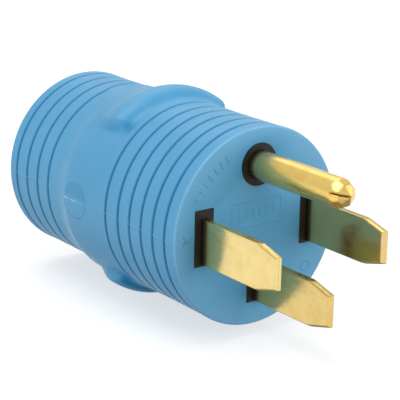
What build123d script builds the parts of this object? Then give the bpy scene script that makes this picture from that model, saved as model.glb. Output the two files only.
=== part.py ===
from build123d import *
import math
import os

os.makedirs("parts", exist_ok=True)

# One-piece "dogbone" power adapter: a four-prong 50 A plug moulded back to back with a 30 A
# travel-trailer receptacle.  Millimetres.
#
# Frame: +X runs along the adapter's axis towards the prong tips, the origin is the centre of the
# plug face, and +Z is towards the ground pin.  The hot blades X and Y stand at -Y and +Y.

# ---------------------------------------------------------------- moulded body
BODY_LENGTH = 82.3
FACE_RADIUS = 27.0
FRONT_RADIUS = 26.8
MIDDLE_RADIUS = 27.4
REAR_RADIUS = 25.9
RIM_ROUNDING = 0.8
SKIN_THICKNESS = 3.0
CAVITY_RADIUS = 22.4

# Outer profile of the body, rear to front: (position along the axis, radius).
BODY_PROFILE = [
    (-BODY_LENGTH, 26.1),
    (-78.0, REAR_RADIUS),
    (-58.0, REAR_RADIUS),
    (-55.0, 26.2),
    (-53.0, 26.7),
    (-51.0, 27.25),
    (-49.5, MIDDLE_RADIUS),
    (-45.0, MIDDLE_RADIUS),
    (-32.0, 26.9),
    (-6.0, FRONT_RADIUS),
    (0.0, FACE_RADIUS),
]

GROOVE_WIDTH = 0.9
GROOVE_DEPTH = 0.5
FRONT_GROOVES = [-4.5 - 5.25 * i for i in range(6)]
REAR_GROOVES = [-61.5 - 5.65 * i for i in range(4)]

# Finger lugs: a rib across the top and the bottom, with a ramp behind its crest and a cove before it.
# (position along the axis, radius) on the lug's middle line.
LUG_PROFILE = [
    (-50.5, 26.7),
    (-48.5, 27.5),
    (-46.0, 28.4),
    (-43.5, 29.35),
    (-42.0, 29.8),
    (-40.5, 29.95),
    (-39.0, 29.8),
    (-37.8, 29.2),
    (-36.5, 28.2),
    (-35.0, 27.3),
    (-33.5, 26.8),
    (-31.5, 26.3),
]
LUG_BASE_RADIUS = 26.0
LUG_FULL_ANGLE = 36.0
LUG_END_ANGLE = 50.0
LUG_DEPTH = 6.0

# ---------------------------------------------------------------- prongs
BLADE_WIDTH = 12.07
BLADE_THICKNESS = 2.0
BLADE_LENGTH = 30.0
BLADE_TAPER_START = 23.3
BLADE_TIP_WIDTH = 8.4
BLADE_COIN = 0.5
BLADE_TIP_BEVEL = (0.9, 0.58)
BLADE_EDGE_ROUNDING = 0.2
SEAM_WIDTH = 0.24
SEAM_DEPTH = 0.4

# Centres of the prongs on the plug face: (y, z).
BLADE_X_AT = (-17.5, -0.7)
BLADE_Y_AT = (17.5, -0.7)
BLADE_W_AT = (0.0, -14.05)
PIN_AT = (0.0, 16.9)

PIN_RADIUS = 3.9
PIN_NECK_RADIUS = 3.7
PIN_STRAIGHT = 30.0
PIN_LENGTH = 34.7
PIN_NOSE = [(31.8, 3.64), (33.4, 2.8), (34.4, 1.4)]
PIN_FLATS = [(26.0, 3.55, 8, 0.0), (58.0, 3.52, 6, 20.0)]
PIN_FLAT_CENTRE = 30.7
PIN_SLIT_WIDTH = 0.4
PIN_SLIT_START = 31.0
PIN_SLIT_ANGLE = 12.0

# The black collars that show around the prongs: half width, height below and above the blade.
COLLAR_HALF_WIDTH = 2.95
COLLAR_BELOW = 6.65
COLLAR_ABOVE = 8.4
PIN_COLLAR_RADIUS = 5.7

# ---------------------------------------------------------------- plug end, inside
INSERT_BACK = -15.0
SHOULDER_FRONT = -12.0
SHOULDER_HALF_WIDTH = 1.9
SHOULDER_HALF_HEIGHT = 7.8
PIN_FLANGE_RADIUS = 5.2
RETAINER_BACK = -19.0

# ---------------------------------------------------------------- wires
BARREL_RADIUS = 2.4
PIN_TAIL_RADIUS = 3.0
BARREL_END = -25.0
BARREL_BORE_END = -17.5
COPPER_RADIUS = 1.3
SLEEVE_RADIUS = 2.35
CONTACT_BARREL_END = -48.5
CONTACT_BORE_END = -54.5

# ---------------------------------------------------------------- receptacle end
BACK_PLATE = (-55.0, -52.5)
HOLDER = (-77.5, -55.0)
FACE_PLATE = (-BODY_LENGTH, -77.5)

SLOT_LENGTH = 13.4
SLOT_WIDTH = 2.6
SLOT_TILT = 45.0
HOT_AT = (-9.0, -3.5)
NEUTRAL_AT = (9.0, -3.5)
GROUND_AT = (0.0, 11.0)
GROUND_HOLE_RADIUS = 2.7
MOUTH_CHAMFER = 0.4

LEAF_GAP = 2.0
LEAF_THICKNESS = 1.0
LEAF_WIDTH = 11.0
CONTACT_FRONT = -76.5
CONTACT_BASE = (-61.5, -59.5)
SPRING_THICKNESS = 0.6
SPRING_SPAN = (-72.5, -64.5)
SPRING_WIDTH = 9.0
CONTACT_POCKET_FRONT = -77.5
CONTACT_POCKET_BACK = -58.5

TUBE_OUTER_RADIUS = 3.4
TUBE_INNER_RADIUS = 2.45
TUBE_POCKET_RADIUS = 4.1
TUBE_SLIT_WIDTH = 0.8
TUBE_BASE = (-58.0, -56.5)
RING_SPAN = (-74.0, -72.0)


# ---------------------------------------------------------------- small helpers
def rod(x0, x1, radius, at=(0.0, 0.0)):
    """Round bar along X from x0 to x1."""
    middle = Pos((x0 + x1) / 2, at[0], at[1])
    return middle * Rot(0, 90, 0) * Cylinder(radius, abs(x1 - x0))


def block(x_span, y_span, z_span):
    """Box between two corners, each span being (low, high)."""
    spans = [sorted(x_span), sorted(y_span), sorted(z_span)]
    size = [high - low for low, high in spans]
    middle = [(high + low) / 2 for low, high in spans]
    return Pos(*middle) * Box(*size)


def turned(points):
    """Solid of revolution about X from a closed outline of (x, radius)."""
    return revolve(make_face(Polyline(*points, close=True)), axis=Axis.X)


def tilted(shape, at, side):
    """Place a contact drawn on the X axis at a slot, tilted to the slot's side (-1 or +1)."""
    return Pos(0, at[0], at[1]) * Rot(-side * SLOT_TILT, 0, 0) * shape


def between(knots, x):
    """Straight-line value of a list of (x, value) knots at x."""
    for (x0, v0), (x1, v1) in zip(knots, knots[1:]):
        if x <= x1:
            return v0 + (v1 - v0) * (x - x0) / (x1 - x0)
    return knots[-1][1]


# ---------------------------------------------------------------- moulded jacket
def body_of_revolution():
    """The grip without its lugs: waisted rear, fuller middle, grooves, rounded rims."""
    outline = [(-BODY_LENGTH, 0.0)] + BODY_PROFILE + [(0.0, 0.0)]
    face = make_face(Polyline(*outline, close=True))
    rims = [v for v in face.vertices() if v.Y > 20 and (v.X > -0.1 or v.X < -BODY_LENGTH + 0.1)]
    body = revolve(fillet(rims, RIM_ROUNDING), axis=Axis.X)
    for x in FRONT_GROOVES + REAR_GROOVES:
        radius = between(BODY_PROFILE, x)
        body -= groove_ring(x, radius)
    return body


def groove_ring(x, radius):
    """Ring cutter for one groove, slightly narrower at its floor."""
    half = GROOVE_WIDTH / 2
    floor = radius - GROOVE_DEPTH
    outline = [(x - half, radius + 0.5), (x - half, radius), (x - half / 2, floor)]
    outline += [(x + half / 2, floor), (x + half, radius), (x + half, radius + 0.5)]
    return turned(outline)


def lug_radius(x, angle):
    """Radius of the lug's skin at x and at an angle in degrees from its middle line."""
    t = (abs(angle) - LUG_FULL_ANGLE) / (LUG_END_ANGLE - LUG_FULL_ANGLE)
    t = min(1.0, max(0.0, t))
    fade = 1.0 - t * t * (3.0 - 2.0 * t)
    return LUG_BASE_RADIUS + (between(LUG_PROFILE, x) - LUG_BASE_RADIUS) * fade


def lug():
    """One finger lug on the +Z side, a smooth skin carried down into the body."""
    rows = []
    for i in range(25):
        x = LUG_PROFILE[0][0] + (LUG_PROFILE[-1][0] - LUG_PROFILE[0][0]) * i / 24
        row = []
        for j in range(31):
            angle = -60.0 + 4.0 * j
            radius = lug_radius(x, angle)
            row.append((x, radius * math.sin(math.radians(angle)), radius * math.cos(math.radians(angle))))
        rows.append(row)
    skin = Face.make_surface_from_array_of_points(rows, tol=0.02)
    return extrude(skin, amount=LUG_DEPTH, dir=(0, 0, -1))


def outer_jacket():
    """Blue overmould: the grip, hollow inside, with windows for the collars in its front skin."""
    top = lug()
    body = body_of_revolution() + top + Rot(180, 0, 0) * top
    body -= rod(-BODY_LENGTH - 1, -SKIN_THICKNESS, CAVITY_RADIUS)
    body -= collars(-SKIN_THICKNESS - 1, 1.0)
    return body


# ---------------------------------------------------------------- plug end
def collars(x0, x1):
    """The four posts that carry the insert's black plastic through the blue skin."""
    posts = rod(x0, x1, PIN_COLLAR_RADIUS, PIN_AT)
    for y, z in (BLADE_X_AT, BLADE_Y_AT, BLADE_W_AT):
        posts += block((x0, x1), (y - COLLAR_HALF_WIDTH, y + COLLAR_HALF_WIDTH), collar_height(y, z))
    return posts


def collar_height(y, z):
    """Low and high edge of a collar; the neutral's is cut short to stay clear of the rim."""
    below = COLLAR_BELOW if y else COLLAR_BELOW - 0.1
    return (z - below, z + COLLAR_ABOVE)


def blade(at, wired):
    """Folded brass blade with a tapered nose, an anchoring shoulder and, if wired, a crimp barrel."""
    y, z = at
    half = BLADE_WIDTH / 2
    tip = BLADE_TIP_WIDTH / 2
    side = [(0, -half), (BLADE_TAPER_START, -half), (BLADE_LENGTH, -tip)]
    side += [(BLADE_LENGTH, tip), (BLADE_TAPER_START, half), (0, half)]
    prong = extrude(Plane.XZ * make_face(Polyline(*side, close=True)), amount=BLADE_THICKNESS / 2, both=True)
    tapers = [e for e in face_edges(prong) if BLADE_TAPER_START < e.center().X < BLADE_LENGTH - 0.1]
    prong = chamfer(tapers, BLADE_COIN)
    long_edges = [e for e in face_edges(prong) if abs(e.center().Z) > half - 0.1]
    prong = fillet(long_edges, BLADE_EDGE_ROUNDING)
    prong -= tip_wedges()

    for edge in (-half, half):
        seam = (edge - SEAM_DEPTH, edge + SEAM_DEPTH)
        prong -= block((0.3, BLADE_TAPER_START), (-SEAM_WIDTH / 2, SEAM_WIDTH / 2), seam)
    prong += block((SHOULDER_FRONT, 0.0), (-BLADE_THICKNESS / 2, BLADE_THICKNESS / 2), (-half, half))
    prong += block((INSERT_BACK, SHOULDER_FRONT), (-SHOULDER_HALF_WIDTH, SHOULDER_HALF_WIDTH),
                   (-SHOULDER_HALF_HEIGHT, SHOULDER_HALF_HEIGHT))
    if wired:
        prong += rod(BARREL_END, INSERT_BACK, BARREL_RADIUS)
        prong -= rod(BARREL_END - 1, BARREL_BORE_END, COPPER_RADIUS)
    return Pos(0, y, z) * prong


def face_edges(prong):
    """Edges that bound the two broad faces of a blade."""
    return [e for e in prong.edges() if abs(abs(e.center().Y) - BLADE_THICKNESS / 2) < 0.01]


def tip_wedges():
    """Two cutters that bevel the blade's end towards its middle plane."""
    length, depth = BLADE_TIP_BEVEL
    thick = BLADE_THICKNESS / 2
    corner = [(BLADE_LENGTH - length, thick), (BLADE_LENGTH + 1, thick - depth * (1 + 1 / length))]
    corner += [(BLADE_LENGTH + 1, thick + 1), (BLADE_LENGTH - length, thick + 1)]
    wedge = extrude(make_face(Polyline(*corner, close=True)), amount=BLADE_WIDTH, both=True)
    return wedge + mirror(wedge, about=Plane.XZ)


def ground_pin():
    """Round ground pin with a slit nose, an anchoring flange and a wire cup."""
    nose = Spline((PIN_STRAIGHT, PIN_RADIUS), *PIN_NOSE, (PIN_LENGTH, 0.0), tangents=[(1, 0), (0, -1)])
    back = Polyline((PIN_LENGTH, 0.0), (0.0, 0.0), (0.0, PIN_RADIUS), (PIN_STRAIGHT, PIN_RADIUS))
    pin = revolve(make_face([nose] + list(back.edges())), axis=Axis.X)
    for lean, reach, count, turn in PIN_FLATS:
        for i in range(count):
            pin -= Rot(turn + 360 / count * i, 0, 0) * nose_flat(lean, reach)
    slit = block((PIN_SLIT_START, PIN_LENGTH + 1), (-PIN_RADIUS - 1, 0),
                 (-PIN_SLIT_WIDTH / 2, PIN_SLIT_WIDTH / 2))
    pin -= Rot(-PIN_SLIT_ANGLE, 0, 0) * slit
    pin += rod(SHOULDER_FRONT, 0.0, PIN_NECK_RADIUS)
    pin += rod(INSERT_BACK, SHOULDER_FRONT, PIN_FLANGE_RADIUS)
    pin += rod(BARREL_END, INSERT_BACK, PIN_TAIL_RADIUS)
    pin -= rod(BARREL_END - 1, BARREL_BORE_END, COPPER_RADIUS)
    return Pos(0, PIN_AT[0], PIN_AT[1]) * pin


def nose_flat(lean, reach):
    """Cutter that presses one flat on the nose, facing lean degrees forward of straight out."""
    return Pos(PIN_FLAT_CENTRE, 0, 0) * Rot(0, 0, 90 - lean) * Pos(reach + 5, 0, 0) * Box(10, 8, 8)


def prong_room():
    """The space the prongs take inside the insert: slots, pin hole and shoulder pockets."""
    room = rod(INSERT_BACK, 1, PIN_NECK_RADIUS, PIN_AT)
    room += rod(INSERT_BACK, SHOULDER_FRONT, PIN_FLANGE_RADIUS, PIN_AT)
    half = BLADE_WIDTH / 2
    thick = BLADE_THICKNESS / 2
    for y, z in (BLADE_X_AT, BLADE_Y_AT, BLADE_W_AT):
        room += block((INSERT_BACK, 1), (y - thick, y + thick), (z - half, z + half))
        room += block((INSERT_BACK, SHOULDER_FRONT), (y - SHOULDER_HALF_WIDTH, y + SHOULDER_HALF_WIDTH),
                      (z - SHOULDER_HALF_HEIGHT, z + SHOULDER_HALF_HEIGHT))
    return room


def male_insert():
    """Black block that carries the prongs, with the collars that reach the plug face."""
    body = rod(INSERT_BACK, -SKIN_THICKNESS, CAVITY_RADIUS) + collars(-SKIN_THICKNESS - 0.5, 0.0)
    return body - prong_room()


def male_retainer():
    """Plate behind the insert that traps the prong shoulders and passes the wired tails."""
    plate = rod(RETAINER_BACK, INSERT_BACK, CAVITY_RADIUS)
    for at, radius in plug_tails():
        plate -= rod(RETAINER_BACK - 1, INSERT_BACK + 1, radius, at)
    return plate


def plug_tails():
    """Centre and radius of each wired tail at the plug end."""
    return [(BLADE_X_AT, BARREL_RADIUS), (BLADE_W_AT, BARREL_RADIUS), (PIN_AT, PIN_TAIL_RADIUS)]


# ---------------------------------------------------------------- wires and core
def wire_route(start, end):
    """Smooth centre line from a plug tail to a contact barrel, square to both."""
    first = (BARREL_END, start[0], start[1])
    last = (CONTACT_BARREL_END, end[0], end[1])
    return Spline(first, last, tangents=[(-1, 0, 0), (-1, 0, 0)])


def along(route, radius):
    """Round bar swept along a wire route."""
    disc = Plane(origin=route @ 0, z_dir=(-1, 0, 0)) * Circle(radius)
    return sweep(disc, path=route)


def copper(start, end):
    """Stranded conductor, bared at both ends inside its barrels."""
    wire = along(wire_route(start, end), COPPER_RADIUS)
    wire += rod(BARREL_END, BARREL_BORE_END, COPPER_RADIUS, start)
    wire += rod(CONTACT_BORE_END, CONTACT_BARREL_END, COPPER_RADIUS, end)
    return wire


def sleeve(start, end):
    """Insulation between the two barrels."""
    route = wire_route(start, end)
    return along(route, SLEEVE_RADIUS) - along(route, COPPER_RADIUS)


def inner_core():
    """Moulded filler between the two inserts, shaped round the wires and barrels."""
    core = rod(BACK_PLATE[1], RETAINER_BACK, CAVITY_RADIUS)
    for start, end in WIRES.values():
        core -= along(wire_route(start, end), SLEEVE_RADIUS)
    for at, radius in plug_tails():
        core -= rod(BARREL_END, RETAINER_BACK + 1, radius, at)
    for at in (HOT_AT, NEUTRAL_AT, GROUND_AT):
        core -= rod(BACK_PLATE[1] - 1, CONTACT_BARREL_END, BARREL_RADIUS, at)
    return core


# ---------------------------------------------------------------- receptacle end
def barrel(at_x):
    """Crimp barrel of a receptacle contact, bored for its wire."""
    tail = rod(at_x, CONTACT_BARREL_END, BARREL_RADIUS)
    return tail - rod(CONTACT_BORE_END, CONTACT_BARREL_END + 1, COPPER_RADIUS)


def slot_contact():
    """Two brass leaves that grip a blade, joined by a base with a barrel behind it."""
    inner = LEAF_GAP / 2
    outer = inner + LEAF_THICKNESS
    half = LEAF_WIDTH / 2
    contact = block(CONTACT_BASE, (-outer, outer), (-half, half))
    for side in (-1, 1):
        contact += block((CONTACT_FRONT, CONTACT_BASE[0]), (side * inner, side * outer), (-half, half))
    return contact + barrel(CONTACT_BASE[1])


def slot_spring():
    """Steel clip that wraps the two leaves on three sides and presses them together."""
    inner = LEAF_GAP / 2 + LEAF_THICKNESS
    outer = inner + SPRING_THICKNESS
    low = -SPRING_WIDTH / 2
    high = LEAF_WIDTH / 2
    clip = block(SPRING_SPAN, (-outer, outer), (high, high + SPRING_THICKNESS))
    for side in (-1, 1):
        clip += block(SPRING_SPAN, (side * inner, side * outer), (low, high))
    return clip


def ground_contact():
    """Slit brass tube that grips the ground pin, with a barrel behind it."""
    tube = rod(CONTACT_FRONT, TUBE_BASE[1], TUBE_OUTER_RADIUS)
    tube -= rod(CONTACT_FRONT - 1, TUBE_BASE[0], TUBE_INNER_RADIUS)
    slit = TUBE_SLIT_WIDTH / 2
    for across in ((-5, 5, -slit, slit), (-slit, slit, -5, 5)):
        tube -= block((CONTACT_FRONT - 1, CONTACT_FRONT + 10), across[:2], across[2:])
    return Pos(0, *GROUND_AT) * (tube + barrel(TUBE_BASE[1]))


def ground_spring():
    """Steel ring round the slit tube."""
    return rod(*RING_SPAN, TUBE_OUTER_RADIUS + 0.5, GROUND_AT) - rod(*RING_SPAN, TUBE_OUTER_RADIUS, GROUND_AT)


def receptacle_face():
    """Black face plate with the two tilted slots and the round ground hole."""
    plate = rod(*FACE_PLATE, CAVITY_RADIUS)
    slot = block((FACE_PLATE[0] - 1, FACE_PLATE[1] + 1), (-SLOT_WIDTH / 2, SLOT_WIDTH / 2),
                 (-SLOT_LENGTH / 2, SLOT_LENGTH / 2))
    plate -= tilted(slot, HOT_AT, -1)
    plate -= tilted(slot, NEUTRAL_AT, 1)
    plate -= rod(FACE_PLATE[0] - 1, FACE_PLATE[1] + 1, GROUND_HOLE_RADIUS, GROUND_AT)
    mouths = [e for e in plate.edges() if e.center().X < FACE_PLATE[0] + 0.01 and e.length < CAVITY_RADIUS]
    return chamfer(mouths, MOUTH_CHAMFER)


def receptacle_holder():
    """Black block behind the face plate with a pocket for each contact."""
    holder = rod(*HOLDER, CAVITY_RADIUS)
    half = LEAF_WIDTH / 2 + 1.2
    pocket = block((CONTACT_POCKET_FRONT - 1, CONTACT_POCKET_BACK), (-3.1, 3.1), (-half, half))
    holder -= tilted(pocket, HOT_AT, -1)
    holder -= tilted(pocket, NEUTRAL_AT, 1)
    holder -= rod(CONTACT_POCKET_FRONT - 1, TUBE_BASE[1], TUBE_POCKET_RADIUS, GROUND_AT)
    for at in (HOT_AT, NEUTRAL_AT, GROUND_AT):
        holder -= rod(CONTACT_POCKET_BACK - 1, HOLDER[1] + 1, BARREL_RADIUS, at)
    return holder


def receptacle_back():
    """Plate that closes the holder and passes the three barrels."""
    plate = rod(*BACK_PLATE, CAVITY_RADIUS)
    for at in (HOT_AT, NEUTRAL_AT, GROUND_AT):
        plate -= rod(BACK_PLATE[0] - 1, BACK_PLATE[1] + 1, BARREL_RADIUS, at)
    return plate


# ---------------------------------------------------------------- assembly
WIRES = {
    "hot": (BLADE_X_AT, HOT_AT),
    "neutral": (BLADE_W_AT, NEUTRAL_AT),
    "ground": (PIN_AT, GROUND_AT),
}

NODES = {
    "outer_jacket": outer_jacket(),
    "inner_core": inner_core(),
    "male_insert": male_insert(),
    "male_retainer": male_retainer(),
    "blade_x": blade(BLADE_X_AT, True),
    "blade_y": blade(BLADE_Y_AT, False),
    "blade_w": blade(BLADE_W_AT, True),
    "ground_pin": ground_pin(),
    "receptacle_face": receptacle_face(),
    "receptacle_holder": receptacle_holder(),
    "receptacle_back": receptacle_back(),
    "contact_hot": tilted(slot_contact(), HOT_AT, -1),
    "contact_neutral": tilted(slot_contact(), NEUTRAL_AT, 1),
    "contact_ground": ground_contact(),
    "spring_hot": tilted(slot_spring(), HOT_AT, -1),
    "spring_neutral": tilted(slot_spring(), NEUTRAL_AT, 1),
    "spring_ground": ground_spring(),
}

for name, (start, end) in WIRES.items():
    NODES["wire_" + name] = copper(start, end)
    NODES["sleeve_" + name] = sleeve(start, end)

for name, shape in NODES.items():
    solid = shape if isinstance(shape, Solid) else shape.solids()[0]
    export_step(solid, f"parts/{name}.step")
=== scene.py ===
import bpy
import bmesh
import math
from mathutils import Euler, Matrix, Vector


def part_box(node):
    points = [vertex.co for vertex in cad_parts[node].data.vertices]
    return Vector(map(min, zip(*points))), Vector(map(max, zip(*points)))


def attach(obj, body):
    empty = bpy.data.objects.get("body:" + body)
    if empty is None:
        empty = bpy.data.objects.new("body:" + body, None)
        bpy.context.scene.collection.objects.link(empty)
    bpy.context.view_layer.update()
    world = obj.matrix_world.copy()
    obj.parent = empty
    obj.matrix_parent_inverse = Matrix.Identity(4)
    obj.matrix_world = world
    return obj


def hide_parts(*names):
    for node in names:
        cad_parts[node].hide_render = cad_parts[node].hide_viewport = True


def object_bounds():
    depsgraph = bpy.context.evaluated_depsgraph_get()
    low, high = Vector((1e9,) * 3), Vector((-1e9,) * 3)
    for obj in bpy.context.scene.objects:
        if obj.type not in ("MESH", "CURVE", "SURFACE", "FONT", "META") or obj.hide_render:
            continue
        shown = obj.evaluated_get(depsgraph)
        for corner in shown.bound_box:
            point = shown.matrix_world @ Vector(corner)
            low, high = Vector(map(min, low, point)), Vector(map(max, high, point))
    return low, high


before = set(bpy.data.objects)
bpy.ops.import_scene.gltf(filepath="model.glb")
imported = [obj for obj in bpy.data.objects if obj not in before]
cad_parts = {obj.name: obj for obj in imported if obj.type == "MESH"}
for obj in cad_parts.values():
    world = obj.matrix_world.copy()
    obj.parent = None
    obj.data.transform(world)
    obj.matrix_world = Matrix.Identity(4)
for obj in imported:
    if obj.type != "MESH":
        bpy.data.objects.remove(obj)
cad_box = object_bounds()

MM = 0.001

# ---------------------------------------------------------------- moulded body
# Lengths are in millimetres and angles in degrees. The axis runs along X, with the plug face at 0.
jacket_low, jacket_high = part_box("outer_jacket")
BODY_LENGTH = -jacket_low[0] / MM
LUG_TOP = jacket_high[2] / MM
RIM_ROUNDING = 0.8
CAVITY_RADIUS = 22.4
SKIN_THICKNESS = 3.0
MOUTH_LIP = 0.3
MOUTH_LIP_KNEE = (0.1, 0.2)

# Outer profile of the grip, rear to front: (position along the axis, radius).
BODY_PROFILE = [
    (-BODY_LENGTH, 26.15),
    (-78.0, 25.9),
    (-66.0, 25.88),
    (-58.0, 25.9),
    (-56.0, 26.05),
    (-54.0, 26.4),
    (-52.2, 26.85),
    (-50.8, 27.3),
    (-50.0, 27.42),
    (-48.5, 27.44),
    (-44.0, 27.4),
    (-32.0, 26.9),
    (-6.0, 26.85),
    (0.0, 27.0),
]

GROOVE_HALF = 0.60
GROOVE_FLOOR_HALF = 0.26
GROOVE_DEPTH = 0.48
FRONT_GROOVES = [-4.5 - 5.25 * i for i in range(5)] + [-31.2]
REAR_GROOVES = [-61.5 - 5.65 * i for i in range(4)]

# Finger lugs, over and under the grip. Angles are from a lug's middle line.
LUG_BASE = 26.0
LUG_FULL_ANGLE = 38.5
LUG_END_ANGLE = 47.0
LUG_MIDDLE = -42.0
LUG_HALF_WIDTH = 7.0
LUG_END_ROUNDING = 4.0
LUG_BLEND = 0.4
LUG_PROFILE = [
    (-51.0, 26.4),
    (-48.7, 27.45),
    (-46.0, 28.45),
    (-43.5, 29.35),
    (-42.0, LUG_TOP - 0.16),
    (-40.6, LUG_TOP),
    (-39.2, LUG_TOP - 0.12),
    (-38.0, 29.35),
    (-36.8, 28.6),
    (-35.6, 27.6),
    (-34.4, 26.95),
    (-33.0, 26.6),
    (-31.5, 26.2),
]

# Shallow sink at each end of a lug's front wall: (along the axis, angle), and how far it reaches.
SINK_AT = (-35.2, 37.5)
SINK_SIZE = (1.8, 4.5)
SINK_DEPTH = 0.25
# Painted shade, a deeper blue, in the sink.
SINK_SHADE = 0.75

# Painted shade, a deeper blue, down a lug's front wall and end wall; much deeper on the lug underneath.
WALL_AT = -36.3
WALL_HALF = 2.2
WALL_SHADE_TOP = 0.3
WALL_SHADE_UNDER = 0.9
END_SHADE = 0.3
END_WALL_HEIGHT = 1.5

# Round gate mark on the -Y side, with ripples in its upper half.
GATE_AT = -45.6
GATE_RADIUS = 5.1
GATE_SPREAD = 20.0
GATE_RING_HALF = 0.28
GATE_RING_DEPTH = 0.12
# Painted shade: the ring darker on its front and lower side, the dish and ripples darker in the upper
# half.
GATE_RING_SHADE = 0.75
GATE_RING_FADE = 0.6
GATE_DISH_EDGE = 0.2
GATE_DISH_DEPTH = 0.05
GATE_DISH_SHADE = 0.12
GATE_RIPPLE_PITCH = 0.95
GATE_RIPPLE_DEPTH = 0.03
GATE_RIPPLE_SHADE = 0.38
GATE_RIPPLE_FADE = 2.0

# Pale flash left where the gate was cut: (position along the moulding seam, strength).
GATE_FLASH = [
    (-51.8, 0.0),
    (-51.1, 1.0),
    (-50.2, 0.9),
    (-48.6, 0.6),
    (-47.4, 0.35),
    (-46.9, 0.9),
    (-45.7, 0.8),
    (-44.4, 0.35),
    (-42.6, 0.25),
    (-41.0, 0.0),
]

# Moulding seam along each side, and a painted highlight along the front rim's rounding.
SEAM_HEIGHT = 0.07
SEAM_HALF = 0.16
SEAM_FILLS_GROOVE = 0.5
SEAM_FLASH = 0.12
SEAM_FLASH_IN_GROOVE = 0.4
RIM_HIGHLIGHT_AT = 0.3
RIM_HIGHLIGHT_HALF = 0.6
RIM_HIGHLIGHT = 0.3

# Where the skin's mesh has its rows and its columns.
RIM_STEPS = 8
GROOVE_ROWS = (0.0, 0.16, 0.27, 0.36, 0.47, 0.6, 0.9)
PLAIN_ROWS = {-80.5, -75.6, -70.0, -64.4, -28.1, -22.9, -17.6, -12.4, -7.2, -2.6}
SHOULDER_ROWS = {-59.5 + 0.5 * i for i in range(17)}
GATE_ROWS = {GATE_AT + 0.2 * i for i in range(-29, 30)}
LUG_ROWS = {-39.8 + 0.3 * i for i in range(28)}
ROW_GAP = 0.035
SEAM_COLUMNS = (-0.5, -0.34, -0.2, -0.1, 0.0, 0.1, 0.2, 0.34, 0.5)
GATE_COLUMNS = {-12.6 + 0.42 * i for i in range(61)}
PLAIN_COLUMNS = {13.75 + 1.25 * i for i in range(267)}
COLUMN_GAP = 0.05

# ---------------------------------------------------------------- collar windows in the plug face
# Centres as (y, z).
BLADE_X_AT = (-17.5, -0.7)
BLADE_Y_AT = (17.5, -0.7)
BLADE_W_AT = (0.0, -14.05)
PIN_AT = (0.0, 16.9)
COLLAR_HALF_WIDTH = 2.95
COLLAR_BELOW = 6.65
COLLAR_BELOW_W = COLLAR_BELOW - 0.1
COLLAR_ABOVE = 8.4
COLLAR_CORNER = 0.35
PIN_COLLAR_RADIUS = 5.7
PIN_COLLAR_SIDES = 72
CORNER_STEPS = 5

# Softened mouth of each window, front to back: (position along the axis, how far it is widened).
WINDOW_LEVELS = [(0.0, 0.22), (-0.05, 0.08), (-0.2, 0.0), (-SKIN_THICKNESS, 0.0)]

# ---------------------------------------------------------------- raised marks on the plug face
RIB_RADIUS = 0.2
RIB_SUNK = 0.35
FRAME_AT = (-0.6, 4.2)
FRAME_HALF = (8.3, 3.4)
FRAME_CORNER = 0.8
TICKS = 6
TICK_FIRST = -6.1
TICK_PITCH = 2.2
TICK_ENDS = (2.9, 5.5)
BARS = 7
BAR_FIRST_ANGLE = 28.0
BAR_PITCH_ANGLE = 5.6
BAR_ENDS = (21.2, 23.4)
RING_AT = (17.0, -14.0)
RING_RADIUS = 1.4
RING_SIDES = 32
RING_RIB_RADIUS = 0.18
LETTERS = [("X", -23.0, 0.4), ("Y", 23.0, 0.4)]
LETTER_SIZE = 3.2
LETTER_HEIGHT = 0.2
LETTER_EDGE = 0.06

# ---------------------------------------------------------------- finishes
BEVEL_SAMPLES = 6
EDGE_TURN = (0.85, 0.995)
# Painted reflections on the brass: a deeper yellow along edges, and darker tones towards a prong's root.
BRASS_EDGE_REFLECTION = (0.72, 0.46, 0.09)
BRASS_ROOT_REFLECTION = (0.46, 0.40, 0.18)
BRASS_DARK_ROOT_REFLECTION = (0.09, 0.07, 0.035)
DARK_ROOT_SPAN = (0.8, 2.6)
BLADE_FINISH = {
    "smooth": 0.11,
    "dull": 0.24,
    "metallic": 0.88,
    "lines_mm": 0.3,
    "lines_strength": 0.16,
    "root_mm": 4.0,
    "edge_mm": 0.5,
}
PIN_FINISH = {
    "smooth": 0.18,
    "dull": 0.30,
    "metallic": 0.84,
    "lines_mm": 0.7,
    "lines_strength": 0.28,
    "root_mm": 12.0,
    "edge_mm": 0.9,
}

# ---------------------------------------------------------------- floor, light, camera, in metres
FLOOR_HALF = 3.0
FLOOR_BELOW = 0.0002
FLOOR_GLOW = 0.62

# Brightness by the height of the direction, (-1 straight down to 1 straight up, light):
# what lights the object, and what its gloss reflects.
DOME = [(-1.0, 0.05), (-0.55, 0.17), (-0.10, 0.56), (0.25, 0.64), (1.0, 0.56)]
SWEEP = [(-1.0, 0.12), (-0.70, 0.30), (-0.40, 1.00), (-0.05, 0.90), (0.15, 0.62), (1.0, 0.62)]
SKY_STRENGTH = 1.08

# Soft lights: name, place, width, power in watts, colour, whether gloss reflects it.
WHITE = (1.0, 1.0, 1.0)
COOL = (0.80, 0.95, 1.0)
PALE_COOL = (0.86, 0.96, 1.0)
SOFTBOXES = [
    ("key", (-0.05, -0.4, 1.6), 1.1, 11.5, WHITE, True),
    ("back", (-0.9, 0.6, 1.1), 0.9, 2.0, WHITE, True),
    ("front", (1.35, 0.1, 0.55), 1.0, 8.0, COOL, False),
    ("side", (0.8, 1.1, 0.25), 1.0, 3.0, COOL, True),
    ("fill", (-0.3, -1.15, -0.6), 1.0, 7.2, PALE_COOL, False),
]

CAMERA_LENS_MM = 136.2
CAMERA_SENSOR_MM = 36.0
CAMERA_NEAREST = 0.01
CAMERA_AT = (0.28863, -0.23993, 0.12246)
CAMERA_TURN = (72.886, -1.055, 52.898)


# ---------------------------------------------------------------- small helpers
def clamp01(t):
    """t kept between 0 and 1."""
    return min(1.0, max(0.0, t))


def ease(t):
    """Smooth step from 0 at t = 0 to 1 at t = 1."""
    t = clamp01(t)
    return t * t * (3.0 - 2.0 * t)


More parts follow.
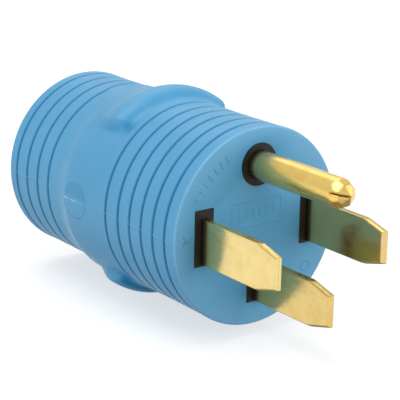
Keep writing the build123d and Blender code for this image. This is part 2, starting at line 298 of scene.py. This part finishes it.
def mix(a, b, t):
    """a at t = 0, b at t = 1."""
    return a + (b - a) * t


def smooth_max(a, b, blend):
    """The larger of two values, with a fillet where they are within blend of each other."""
    h = clamp01(0.5 + 0.5 * (a - b) / blend)
    return mix(b, a, h) + blend * h * (1.0 - h)


def through(knots, x):
    """Smooth curve through (x, value) knots."""
    if x <= knots[0][0]:
        return knots[0][1]
    if x >= knots[-1][0]:
        return knots[-1][1]
    i = max(k for k in range(len(knots) - 1) if knots[k][0] <= x)
    slopes = [(b[1] - a[1]) / (b[0] - a[0]) for a, b in zip(knots, knots[1:])]
    ends = [slopes[0]] + [(a + b) / 2 for a, b in zip(slopes, slopes[1:])] + [slopes[-1]]
    (x0, v0), (x1, v1) = knots[i], knots[i + 1]
    h = x1 - x0
    t = (x - x0) / h
    by_value = v0 * (1 + 2 * t) * (1 - t) ** 2 + v1 * t * t * (3 - 2 * t)
    by_slope = h * (ends[i] * t * (1 - t) ** 2 - ends[i + 1] * t * t * (1 - t))
    return by_value + by_slope


def spaced(values, gap):
    """Values in order, without those that follow the last kept one by no more than gap."""
    ordered = sorted(values)
    kept = [ordered[0]]
    for value in ordered[1:]:
        if value - kept[-1] > gap:
            kept.append(value)
    return kept


def new_object(name, mesh, material):
    """Object for a mesh drawn in millimetres in the CAD frame, riding on the one body."""
    mesh.transform(((MM, 0, 0, 0), (0, MM, 0, 0), (0, 0, MM, 0), (0, 0, 0, 1)))
    obj = bpy.data.objects.new(name, mesh)
    bpy.context.scene.collection.objects.link(obj)
    mesh.materials.append(material)
    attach(obj, "root")
    return obj


# ---------------------------------------------------------------- materials
class Nodes:
    """Node tree of one procedural material."""

    def __init__(self, name):
        self.material = bpy.data.materials.new(name)
        self.material.use_nodes = True
        self.tree = self.material.node_tree
        self.shader = self.tree.nodes["Principled BSDF"]
        self.place = self.add("ShaderNodeTexCoord").outputs["Object"]

    def add(self, kind, **values):
        """New node with its settings."""
        node = self.tree.nodes.new(kind)
        for key, value in values.items():
            setattr(node, key, value)
        return node

    def link(self, source, target):
        """Wire an output to an input."""
        self.tree.links.new(source, target)

    def stretched(self, scale):
        """Object coordinates, scaled along each axis."""
        mapping = self.add("ShaderNodeMapping")
        mapping.inputs["Scale"].default_value = scale
        self.link(self.place, mapping.inputs["Vector"])
        return mapping.outputs["Vector"]

    def noise(self, size_mm, detail=3.0, stretch=(1, 1, 1), roughness=0.5):
        """Noise with features of about size_mm."""
        node = self.add("ShaderNodeTexNoise")
        node.inputs["Scale"].default_value = 1.0 / (size_mm * MM)
        node.inputs["Detail"].default_value = detail
        node.inputs["Roughness"].default_value = roughness
        self.link(self.stretched(stretch), node.inputs["Vector"])
        return node.outputs["Fac"]

    def span(self, value, low, high, start=0.3, end=0.7):
        """low where the value is at or under start, high at or over end."""
        node = self.add("ShaderNodeMapRange")
        for key, number in (("From Min", start), ("From Max", end), ("To Min", low), ("To Max", high)):
            node.inputs[key].default_value = number
        self.link(value, node.inputs["Value"])
        return node.outputs["Result"]

    def attribute(self, name):
        """A number stored on the mesh's points."""
        return self.add("ShaderNodeAttribute", attribute_name=name).outputs["Fac"]

    def blend(self, factor, first, second):
        """Mix of two colours, each a tuple or an output."""
        node = self.add("ShaderNodeMix", data_type="RGBA")
        self.link(factor, node.inputs["Factor"])
        for socket, colour in ((node.inputs[6], first), (node.inputs[7], second)):
            if isinstance(colour, tuple):
                socket.default_value = (*colour, 1.0)
            else:
                self.link(colour, socket)
        return node.outputs[2]

    def clouds(self, size_mm, detail, first, second):
        """Two colours that drift into each other."""
        return self.blend(self.span(self.noise(size_mm, detail), 0.0, 1.0), first, second)

    def bump(self, height, strength, depth_mm, normal=None):
        """Normal bumped by a height, on top of another normal."""
        node = self.add("ShaderNodeBump")
        node.inputs["Strength"].default_value = strength
        node.inputs["Distance"].default_value = depth_mm * MM
        self.link(height, node.inputs["Height"])
        if normal is not None:
            self.link(normal, node.inputs["Normal"])
        return node.outputs["Normal"]

    def rounded(self, radius_mm):
        """Normal that rounds off edges by a small radius, and how near an edge the point is."""
        bevel = self.add("ShaderNodeBevel", samples=BEVEL_SAMPLES)
        bevel.inputs["Radius"].default_value = radius_mm * MM
        dot = self.add("ShaderNodeVectorMath", operation="DOT_PRODUCT")
        self.link(bevel.outputs["Normal"], dot.inputs[0])
        self.link(self.add("ShaderNodeNewGeometry").outputs["Normal"], dot.inputs[1])
        return bevel.outputs["Normal"], self.span(dot.outputs["Value"], 1.0, 0.0, *EDGE_TURN)

    def along_x(self, start_mm, end_mm):
        """0 behind start_mm, 1 in front of end_mm."""
        split = self.add("ShaderNodeSeparateXYZ")
        self.link(self.place, split.inputs["Vector"])
        return self.span(split.outputs["X"], 0.0, 1.0, start_mm * MM, end_mm * MM)

    def finish(self, colour, roughness, normal, metallic=0.0, **others):
        """Wire up the shader and return the material."""
        self.link(colour, self.shader.inputs["Base Color"])
        self.link(roughness, self.shader.inputs["Roughness"])
        self.link(normal, self.shader.inputs["Normal"])
        self.shader.inputs["Metallic"].default_value = metallic
        for key, value in others.items():
            self.shader.inputs[key.replace("_", " ")].default_value = value
        return self.material


def moulded_blue():
    """Satin blue PVC: faint flow variation, mould grain, painted shade, pale flash, a painted rim
    highlight.
    """
    n = Nodes("moulded_blue")
    base = n.clouds(14.0, 2.0, (0.088, 0.330, 0.558), (0.101, 0.350, 0.588))
    # Painted shade: a deeper blue in the grooves, down the lugs' front and end walls, in their sinks and
    # in the gate mark.
    painted_shade_blue = n.blend(n.attribute("groove"), base, (0.002, 0.205, 0.430))
    # Paler along the seam's flash, and a painted highlight along the front rim.
    pale = n.blend(n.attribute("flash"), painted_shade_blue, (0.42, 0.66, 0.83))
    rough = n.span(n.noise(5.0, 4.0), 0.32, 0.44)
    grain = n.bump(n.noise(0.22, 2.0), 0.25, 0.02)
    wave = n.bump(n.noise(7.0, 2.0), 0.2, 0.12, grain)
    skin = {"Specular_IOR_Level": 0.35, "Subsurface_Weight": 0.06, "Subsurface_Scale": 0.002}
    return n.finish(pale, rough, wave, **skin)


def moulded_black():
    """Matte black nylon with a dry, slightly scuffed skin."""
    n = Nodes("moulded_black")
    base = n.clouds(1.6, 4.0, (0.011, 0.009, 0.007), (0.018, 0.015, 0.012))
    rough = n.span(n.noise(2.5, 4.0), 0.45, 0.65)
    grain = n.bump(n.noise(0.25, 3.0), 0.35, 0.02)
    return n.finish(base, rough, grain, Specular_IOR_Level=0.35)


def filler_grey():
    """Dull grey filler compound with small pits."""
    n = Nodes("filler_grey")
    base = n.clouds(3.0, 4.0, (0.16, 0.16, 0.165), (0.23, 0.23, 0.235))
    rough = n.span(n.noise(2.0, 3.0), 0.6, 0.8)
    return n.finish(base, rough, n.bump(n.noise(0.8, 3.0), 0.4, 0.08))


def polished_brass(name, bright, tarnished, smooth, dull, metallic, lines_mm, lines_strength, root_mm,
                   edge_mm):
    """Rolled, tumbled brass: drawing lines, tarnish clouds, small dings, rounded edges, painted
    reflections.
    """
    n = Nodes(name)
    smooth_edge, edge = n.rounded(edge_mm)
    tarnish = n.span(n.noise(3.5, 5.0, roughness=0.6), 0.0, 1.0, 0.42, 0.75)
    clouds = n.blend(tarnish, bright, tarnished)
    # Painted reflection: a deeper yellow along the edges.
    edge_reflected = n.blend(edge, clouds, BRASS_EDGE_REFLECTION)
    # Painted reflection of the face: olive towards the root, and very dark right at the root.
    root_reflected = n.blend(n.along_x(0.2 * root_mm, root_mm), BRASS_ROOT_REFLECTION, edge_reflected)
    base = n.blend(n.along_x(*DARK_ROOT_SPAN), BRASS_DARK_ROOT_REFLECTION, root_reflected)
    lines = n.noise(lines_mm, 3.0, (0.04, 1, 1))
    rough = n.span(n.noise(1.2, 5.0, (0.3, 1, 1)), smooth, dull)
    drawn = n.bump(lines, lines_strength, 0.012, smooth_edge)
    dings = n.bump(n.noise(2.2, 2.0), 0.16, 0.03, drawn)
    return n.finish(base, rough, dings, metallic=metallic)


def contact_metal():
    """Rolled brass strip of the contacts inside, evenly satin."""
    n = Nodes("contact_brass")
    base = n.clouds(3.0, 4.0, (0.86, 0.66, 0.30), (0.78, 0.56, 0.22))
    rough = n.span(n.noise(1.0, 4.0, (0.2, 1, 1)), 0.18, 0.32)
    return n.finish(base, rough, n.bump(n.noise(0.3, 3.0, (0.05, 1, 1)), 0.2, 0.012), metallic=1.0)


def spring_steel():
    """Blue-grey strip steel with rolling lines."""
    n = Nodes("spring_steel")
    base = n.clouds(2.0, 4.0, (0.42, 0.43, 0.45), (0.58, 0.58, 0.59))
    rough = n.span(n.noise(0.5, 3.0, (0.1, 1, 1)), 0.22, 0.4)
    return n.finish(base, rough, n.bump(n.noise(0.25, 2.0, (0.05, 1, 1)), 0.2, 0.01), metallic=1.0)


def stranded_copper():
    """Copper strands laid along the wire."""
    n = Nodes("stranded_copper")
    base = n.clouds(0.9, 4.0, (0.72, 0.30, 0.17), (0.90, 0.47, 0.30))
    rough = n.span(n.noise(0.6, 3.0), 0.2, 0.38)
    return n.finish(base, rough, n.bump(n.noise(0.4, 1.0, (0.08, 1, 1)), 0.9, 0.12), metallic=1.0)


def sleeve_plastic(name, dark, light):
    """Wire insulation: smooth extruded plastic with a faint drag grain along the wire."""
    n = Nodes(name)
    base = n.clouds(2.5, 3.0, dark, light)
    rough = n.span(n.noise(1.5, 3.0), 0.28, 0.42)
    return n.finish(base, rough, n.bump(n.noise(0.3, 2.0, (0.15, 1, 1)), 0.25, 0.02))


# ---------------------------------------------------------------- shape of the blue skin
def groove_amount(x):
    """1 on the floor of a groove, 0 outside every groove."""
    nearest = min(abs(x - g) for g in FRONT_GROOVES + REAR_GROOVES)
    return 1.0 - ease((nearest - GROOVE_FLOOR_HALF) / (GROOVE_HALF - GROOVE_FLOOR_HALF))


def lug_angle(angle):
    """Degrees from the middle line of the nearer lug, for an angle in degrees up from -Y."""
    return abs(90.0 - abs((angle + 180.0) % 360.0 - 180.0))


def lug_fade(x, off):
    """1 along the lug, falling to 0 down its end wall, which is rounded like a thumb tip."""
    rounding = LUG_END_ROUNDING * ((x - LUG_MIDDLE) / LUG_HALF_WIDTH) ** 2
    return 1.0 - ease((off + rounding - LUG_FULL_ANGLE) / (LUG_END_ANGLE - LUG_FULL_ANGLE))


def lug_radius(x, off):
    """Radius of the finger lug's own skin."""
    return LUG_BASE + (through(LUG_PROFILE, x) - LUG_BASE) * lug_fade(x, off)


def lug_sink(x, off):
    """1 in the hollow where each end of a lug's front wall runs out into the grip."""
    along = (x - SINK_AT[0]) / SINK_SIZE[0]
    across = (off - SINK_AT[1]) / SINK_SIZE[1]
    return math.exp(-along * along - across * across)


def lug_shade(x, angle, grip):
    """How much painted shade deepens the blue in the sinks and down a lug's end wall and front wall."""
    off = lug_angle(angle)
    fade = lug_fade(x, off)
    end_wall = 4.0 * fade * (1.0 - fade) * ease((through(LUG_PROFILE, x) - grip) / END_WALL_HEIGHT)
    front_wall = fade * (1.0 - ease(abs(x - WALL_AT) / WALL_HALF))
    wall_shade = WALL_SHADE_TOP if angle % 360.0 < 180.0 else WALL_SHADE_UNDER
    return max(SINK_SHADE * lug_sink(x, off), END_SHADE * end_wall, wall_shade * front_wall)


def rim_drop(x):
    """How far the rounded rims pull the skin in at x."""
    inset = max(0.0, x + RIM_ROUNDING, -BODY_LENGTH + RIM_ROUNDING - x)
    return RIM_ROUNDING - math.sqrt(max(0.0, RIM_ROUNDING ** 2 - inset ** 2))


def gate_mark(x, angle):
    """Height and painted shade of the round gate mark: a shallow dish, a thin ring and ripples."""
    across = math.radians(angle) * through(BODY_PROFILE, GATE_AT)
    away = math.hypot(x - GATE_AT, across)
    ring = 1.0 - ease(abs(away - GATE_RADIUS) / GATE_RING_HALF)
    inside = 1.0 - ease((away - GATE_RADIUS + GATE_DISH_EDGE) / (2.0 * GATE_DISH_EDGE))
    upper = ease(across / GATE_RIPPLE_FADE) * inside
    ripple = 0.5 + 0.5 * math.cos((GATE_RADIUS - away) * 2.0 * math.pi / GATE_RIPPLE_PITCH)
    height = -GATE_RING_DEPTH * ring - GATE_DISH_DEPTH * inside - GATE_RIPPLE_DEPTH * ripple * upper
    # Painted shade: the ring darker on its front and lower side, the dish and ripples darker in the upper
    # half.
    ring_shade_side = clamp01(GATE_RING_FADE + GATE_RING_FADE * (x - GATE_AT - across) / GATE_RADIUS)
    shade = GATE_RING_SHADE * ring * ring_shade_side + (GATE_DISH_SHADE + GATE_RIPPLE_SHADE * ripple) * upper
    return height, shade


def seam_amount(angle, radius, half):
    """1 on the thin moulding seam along each side."""
    away = min(abs(angle), abs(180.0 - abs(angle)))
    across = math.radians(away) * radius
    return 1.0 - ease(across / half)


def rim_highlight(x):
    """1 along the middle of the front rim's rounding, where the highlight is painted, 0 away from it."""
    return 1.0 - ease(abs(x + RIM_HIGHLIGHT_AT * RIM_ROUNDING) / (RIM_HIGHLIGHT_HALF * RIM_ROUNDING))


def skin_point(x, angle):
    """One point of the blue skin: its radius, its painted shade, and its flash with the painted rim
    highlight.
    """
    groove = groove_amount(x)
    grip = through(BODY_PROFILE, x)
    lug = lug_radius(x, lug_angle(angle))
    radius = smooth_max(grip, lug, LUG_BLEND) if lug > grip - LUG_BLEND else grip
    by_gate = through(GATE_FLASH, x) if abs(angle) < GATE_SPREAD else 0.0
    seam = seam_amount(angle, radius, SEAM_HALF * (1.0 + by_gate))
    radius += SEAM_HEIGHT * seam - GROOVE_DEPTH * groove * (1.0 - SEAM_FILLS_GROOVE * seam)
    radius -= SINK_DEPTH * lug_sink(x, lug_angle(angle))
    # Painted shade: grooves, lug walls and sinks, and the gate mark.
    shade = max(groove, lug_shade(x, angle, grip))
    if abs(angle) < GATE_SPREAD:
        height, mark = gate_mark(x, angle)
        radius += height
        shade = max(groove, mark)
    seam_flash = seam * max(SEAM_FLASH, SEAM_FLASH_IN_GROOVE * groove, by_gate)
    # Paler along the seam's flash, and a painted highlight along the front rim.
    return radius - rim_drop(x), shade, max(seam_flash, RIM_HIGHLIGHT * rim_highlight(x))


def skin_rows():
    """Positions along the axis, closer together at rims, grooves, the gate and the lugs."""
    quarter = [math.sin(math.pi / 2 * i / RIM_STEPS) * RIM_ROUNDING for i in range(RIM_STEPS + 1)]
    rows = {-BODY_LENGTH + RIM_ROUNDING - q for q in quarter} | {-RIM_ROUNDING + q for q in quarter}
    for x in FRONT_GROOVES + REAR_GROOVES:
        rows |= {x + d for d in GROOVE_ROWS} | {x - d for d in GROOVE_ROWS}
    rows |= PLAIN_ROWS | SHOULDER_ROWS | GATE_ROWS | LUG_ROWS
    return spaced({round(x, 4) for x in rows}, ROW_GAP)


def skin_angles():
    """Angles up from -Y in degrees, closer together across the gate and the moulding seams."""
    seams = set(SEAM_COLUMNS) | {180.0 + d for d in SEAM_COLUMNS}
    kept = spaced({a % 360.0 for a in GATE_COLUMNS | seams | PLAIN_COLUMNS}, COLUMN_GAP)
    return [a - 360.0 if a > 180.0 else a for a in kept]


def on_circle(x, radius, angle):
    """Point at an angle up from -Y."""
    a = math.radians(angle)
    return (x, -radius * math.cos(a), radius * math.sin(a))


# ---------------------------------------------------------------- outlines on the plug face
def circle(centre, radius, sides):
    """Circle as (y, z) points."""
    turns = [2 * math.pi * i / sides for i in range(sides)]
    return [(centre[0] + radius * math.cos(t), centre[1] + radius * math.sin(t)) for t in turns]


def rounded_window(y, z, half_width, below, above, corner, grow):
    """Outline of a rounded rectangle around (y, z), grown outward, as (y, z) points."""
    corner = corner + grow
    left, right = y - half_width - grow, y + half_width + grow
    low, high = z - below - grow, z + above + grow
    centres = [
        (right - corner, high - corner, 0),
        (left + corner, high - corner, 90),
        (left + corner, low + corner, 180),
        (right - corner, low + corner, 270),
    ]
    points = []
    for cy, cz, start in centres:
        for i in range(CORNER_STEPS + 1):
            a = math.radians(start + 90.0 / CORNER_STEPS * i)
            points.append((cy + corner * math.cos(a), cz + corner * math.sin(a)))
    return points


def windows(grow):
    """Outlines of the four collar windows in the plug face."""
    outlines = [circle(PIN_AT, PIN_COLLAR_RADIUS + grow, PIN_COLLAR_SIDES)]
    for (y, z), below in (
        (BLADE_X_AT, COLLAR_BELOW),
        (BLADE_Y_AT, COLLAR_BELOW),
        (BLADE_W_AT, COLLAR_BELOW_W),
    ):
        outline = rounded_window(y, z, COLLAR_HALF_WIDTH, below, COLLAR_ABOVE, COLLAR_CORNER, grow)
        outlines.append(outline)
    return outlines


# ---------------------------------------------------------------- mesh of the blue jacket
def add_loop(bm, points):
    """Vertices of one closed outline, in order."""
    return [bm.verts.new(p) for p in points]


def bridge(bm, first, second):
    """Band of quads between two outlines of the same length."""
    count = len(first)
    for i in range(count):
        j = (i + 1) % count
        bm.faces.new((first[i], first[j], second[j], second[i]))


def bridge_all(bm, loops):
    """Bands of quads from each outline to the next."""
    for first, second in zip(loops, loops[1:]):
        bridge(bm, first, second)


def fill_plane(bm, loops):
    """Flat face between an outer outline and the outlines inside it."""
    edges = []
    for loop in loops:
        for a, b in zip(loop, loop[1:] + loop[:1]):
            edges.append(bm.edges.get((a, b)) or bm.edges.new((a, b)))
    bmesh.ops.triangle_fill(bm, use_beauty=True, use_dissolve=False, edges=edges)


def skin_loops(bm, angles):
    """Outlines of the outer skin, rear to front, with their painted shade and their flash and painted
    highlight amounts.
    """
    # The groove attribute holds the painted shade, the flash attribute the seam's flash and the painted
    # rim highlight.
    painted_shade_layer = bm.verts.layers.float.new("groove")
    flash_and_highlight_layer = bm.verts.layers.float.new("flash")
    loops = []
    for x in skin_rows():
        row = []
        for angle in angles:
            radius, groove, flash = skin_point(x, angle)
            vert = bm.verts.new(on_circle(x, radius, angle))
            vert[painted_shade_layer] = groove
            vert[flash_and_highlight_layer] = flash
            row.append(vert)
        loops.append(row)
    return loops


def cavity_loops(bm, angles):
    """Outlines of the cavity, from the lip of its rear mouth to the back of the plug face."""
    lip = CAVITY_RADIUS + MOUTH_LIP
    knee_in, knee_down = MOUTH_LIP_KNEE
    outlines = [
        (-BODY_LENGTH, lip),
        (-BODY_LENGTH + knee_in, lip - knee_down),
        (-BODY_LENGTH + MOUTH_LIP, CAVITY_RADIUS),
        (-SKIN_THICKNESS, CAVITY_RADIUS),
    ]
    return [add_loop(bm, [on_circle(x, r, a) for a in angles]) for x, r in outlines]


def window_walls(bm):
    """Walls of the collar windows; returns their front outlines and their back outlines."""
    fronts, backs = [], []
    outlines = [windows(grow) for _, grow in WINDOW_LEVELS]
    for k in range(len(outlines[0])):
        rings = []
        for (x, _), level in zip(WINDOW_LEVELS, outlines):
            rings.append(add_loop(bm, [(x, y, z) for y, z in level[k]]))
        bridge_all(bm, rings)
        fronts.append(rings[0])
        backs.append(rings[-1])
    return fronts, backs


def blue_jacket(material):
    """The whole overmould as one closed mesh: skin, plug face with its windows, cavity, rear rim."""
    bm = bmesh.new()
    angles = skin_angles()
    skin = skin_loops(bm, angles)
    cavity = cavity_loops(bm, angles)
    bridge_all(bm, cavity[::-1] + skin)
    fronts, backs = window_walls(bm)
    fill_plane(bm, [skin[-1]] + fronts)
    fill_plane(bm, [cavity[-1]] + backs)
    bmesh.ops.recalc_face_normals(bm, faces=bm.faces)
    for face in bm.faces:
        face.smooth = True
    mesh = bpy.data.meshes.new("blue_jacket")
    bm.to_mesh(mesh)
    bm.free()
    mesh.set_sharp_from_angle(angle=math.radians(40.0))
    obj = new_object("blue_jacket", mesh, material)
    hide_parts("outer_jacket")
    return obj


# ---------------------------------------------------------------- raised marks
def mesh_of(name, curve):
    """Mesh of a curve or text drawn in millimetres."""
    holder = bpy.data.objects.new(name + "_source", curve)
    mesh = bpy.data.meshes.new_from_object(holder)
    bpy.data.objects.remove(holder)
    mesh.name = name
    mesh.materials.clear()
    return mesh


def rib(name, points, closed, radius, material):
    """Low rounded rib along points on the plug face, more than half sunk into it."""
    curve = bpy.data.curves.new(name, "CURVE")
    curve.dimensions = "3D"
    curve.bevel_depth = radius
    curve.bevel_resolution = 2
    curve.use_fill_caps = True
    spline = curve.splines.new("POLY")
    spline.points.add(len(points) - 1)
    for point, (y, z) in zip(spline.points, points):
        point.co = (-radius * RIB_SUNK, y, z, 1.0)
    spline.use_cyclic_u = closed
    mesh = mesh_of(name, curve)
    for polygon in mesh.polygons:
        polygon.use_smooth = True
    mesh.set_sharp_from_angle(angle=math.radians(50.0))
    return new_object(name, mesh, material)


def terminal_letter(letter, y, z, material):
    """Generic terminal letter raised beside its prong."""
    name = "letter_" + letter
    text = bpy.data.curves.new(name, "FONT")
    text.body = letter
    text.size = LETTER_SIZE
    text.extrude = LETTER_HEIGHT
    text.bevel_depth = LETTER_EDGE
    text.align_x = "CENTER"
    text.align_y = "CENTER"
    mesh = mesh_of(name, text)
    turn = Euler((math.radians(90.0), 0.0, math.radians(90.0))).to_matrix().to_4x4()
    turn.translation = Vector((0.0, y, z))
    mesh.transform(turn)
    return new_object(name, mesh, material)


def face_marks(material):
    """Raised frame with plain ticks, an arc of plain bars, a plain ring and two terminal letters."""
    y, z = FRAME_AT
    half_width, half_height = FRAME_HALF
    outline = rounded_window(y, z, half_width, half_height, half_height, FRAME_CORNER, 0.0)
    rib("mark_frame", outline, True, RIB_RADIUS, material)
    for i in range(TICKS):
        y = TICK_FIRST + TICK_PITCH * i
        rib("mark_tick_%d" % i, [(y, end) for end in TICK_ENDS], False, RIB_RADIUS, material)
    for i in range(BARS):
        a = math.radians(BAR_FIRST_ANGLE + BAR_PITCH_ANGLE * i)
        bar = [(-end * math.cos(a), end * math.sin(a)) for end in BAR_ENDS]
        rib("mark_bar_%d" % i, bar, False, RIB_RADIUS, material)
    rib("mark_ring", circle(RING_AT, RING_RADIUS, RING_SIDES), True, RING_RIB_RADIUS, material)
    for letter, y, z in LETTERS:
        terminal_letter(letter, y, z, material)


# ---------------------------------------------------------------- CAD nodes that stay
def finish_nodes(finishes):
    """Give every carried-over CAD node its procedural material."""
    for node, material in finishes.items():
        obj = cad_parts[node]
        for slot in obj.material_slots:
            slot.material = material


# ---------------------------------------------------------------- floor, light, camera
def floor_paper():
    """Pale matte paper that glows a little, so that it stays near white."""
    n = Nodes("floor_paper")
    tone = n.blend(n.noise(60.0, 2.0), (0.44, 0.44, 0.44), (0.46, 0.46, 0.46))
    rough = n.span(n.noise(30.0, 2.0), 0.85, 0.95)
    grain = n.bump(n.noise(1.0), 0.05, 0.02)
    glow = {"Emission_Color": (1.0, 1.0, 1.0, 1.0), "Emission_Strength": FLOOR_GLOW}
    return n.finish(tone, rough, grain, **glow)


def floor():
    """Plain floor just under the adapter, left out of its light and its reflections."""
    z = cad_box[0][2] - FLOOR_BELOW
    corners = [(-1, -1), (1, -1), (1, 1), (-1, 1)]
    mesh = bpy.data.meshes.new("floor")
    mesh.from_pydata([(a * FLOOR_HALF, b * FLOOR_HALF, z) for a, b in corners], [], [(0, 1, 2, 3)])
    obj = bpy.data.objects.new("floor", mesh)
    bpy.context.scene.collection.objects.link(obj)
    mesh.materials.append(floor_paper())
    obj.visible_diffuse = False
    obj.visible_glossy = False
    obj.visible_shadow = False


def brightness_by_height(tree, height, levels):
    """Grey level that follows (direction height, light) levels."""
    ramp = tree.nodes.new("ShaderNodeValToRGB")
    tree.links.new(height, ramp.inputs["Fac"])
    stops = ramp.color_ramp.elements
    while len(stops) < len(levels):
        stops.new(0.5)
    for stop, (z, bright) in zip(stops, levels):
        stop.position = (z + 1.0) / 2.0
        stop.color = (bright, bright, bright, 1.0)
    return ramp.outputs["Color"]


def sky():
    """White light from all round, dim from below; gloss also sees a bright sweep just below eye level."""
    world = bpy.data.worlds.new("studio")
    world.use_nodes = True
    tree = world.node_tree
    split = tree.nodes.new("ShaderNodeSeparateXYZ")
    tree.links.new(tree.nodes.new("ShaderNodeTexCoord").outputs["Generated"], split.inputs["Vector"])
    height = tree.nodes.new("ShaderNodeMapRange")
    height.inputs["From Min"].default_value = -1.0
    tree.links.new(split.outputs["Z"], height.inputs["Value"])
    choose = tree.nodes.new("ShaderNodeMix")
    choose.data_type = "RGBA"
    is_glossy = tree.nodes.new("ShaderNodeLightPath").outputs["Is Glossy Ray"]
    tree.links.new(is_glossy, choose.inputs["Factor"])
    for socket, levels in ((choose.inputs[6], DOME), (choose.inputs[7], SWEEP)):
        tree.links.new(brightness_by_height(tree, height.outputs["Result"], levels), socket)
    tree.links.new(choose.outputs[2], tree.nodes["Background"].inputs["Color"])
    tree.nodes["Background"].inputs["Strength"].default_value = SKY_STRENGTH
    return world


def softbox(name, place, size, power, colour, reflected):
    """Square area light aimed at the adapter's middle."""
    light = bpy.data.lights.new(name, "AREA")
    light.size = size
    light.energy = power
    light.color = colour
    obj = bpy.data.objects.new(name, light)
    obj.location = place
    middle = Vector(((cad_box[0][0] + cad_box[1][0]) / 2, 0.0, 0.0))
    obj.rotation_euler = (middle - Vector(place)).to_track_quat("-Z", "Y").to_euler()
    obj.visible_glossy = reflected
    bpy.context.scene.collection.objects.link(obj)


def studio():
    """Pale floor, light from all round, and the soft lights."""
    scene = bpy.context.scene
    scene.view_settings.view_transform = "Standard"
    scene.view_settings.look = "None"
    scene.world = sky()
    floor()
    for box in SOFTBOXES:
        softbox(*box)


def camera():
    """Long lens, a little above the adapter, looking at its plug end from the -Y side."""
    data = bpy.data.cameras.new("camera")
    data.lens = CAMERA_LENS_MM
    data.sensor_width = CAMERA_SENSOR_MM
    data.clip_start = CAMERA_NEAREST
    obj = bpy.data.objects.new("camera", data)
    obj.location = CAMERA_AT
    obj.rotation_euler = Euler([math.radians(a) for a in CAMERA_TURN])
    bpy.context.scene.collection.objects.link(obj)
    bpy.context.scene.camera = obj


# ---------------------------------------------------------------- the scene
studio()
camera()

blue = moulded_blue()
black = moulded_black()
brass = polished_brass("blade_brass", (0.90, 0.71, 0.30), (0.83, 0.62, 0.23), **BLADE_FINISH)
# Darker copies of the blade brass for blade W and the far blade Y: painted shade.
neutral_brass_painted_shade = polished_brass("neutral_brass_painted_shade", (0.79, 0.59, 0.22), (0.71, 0.50, 0.16), **BLADE_FINISH)
far_brass_painted_shade = polished_brass("far_brass_painted_shade", (0.86, 0.62, 0.26), (0.79, 0.54, 0.20), **BLADE_FINISH)
pin_brass = polished_brass("pin_brass", (1.0, 0.71, 0.21), (0.95, 0.62, 0.16), **PIN_FINISH)
contact_brass = contact_metal()
steel = spring_steel()
copper = stranded_copper()

blue_jacket(blue)
face_marks(blue)

finish_nodes({
    "inner_core": filler_grey(),
    "male_insert": black,
    "male_retainer": black,
    "receptacle_face": black,
    "receptacle_holder": black,
    "receptacle_back": black,
    "blade_x": brass,
    "blade_y": far_brass_painted_shade,
    "blade_w": neutral_brass_painted_shade,
    "ground_pin": pin_brass,
    "contact_hot": contact_brass,
    "contact_neutral": contact_brass,
    "contact_ground": contact_brass,
    "spring_hot": steel,
    "spring_neutral": steel,
    "spring_ground": steel,
    "wire_hot": copper,
    "wire_neutral": copper,
    "wire_ground": copper,
    "sleeve_hot": sleeve_plastic("sleeve_black", (0.014, 0.014, 0.014), (0.028, 0.028, 0.028)),
    "sleeve_neutral": sleeve_plastic("sleeve_white", (0.70, 0.70, 0.66), (0.80, 0.80, 0.77)),
    "sleeve_ground": sleeve_plastic("sleeve_green", (0.03, 0.22, 0.05), (0.05, 0.30, 0.08)),
})
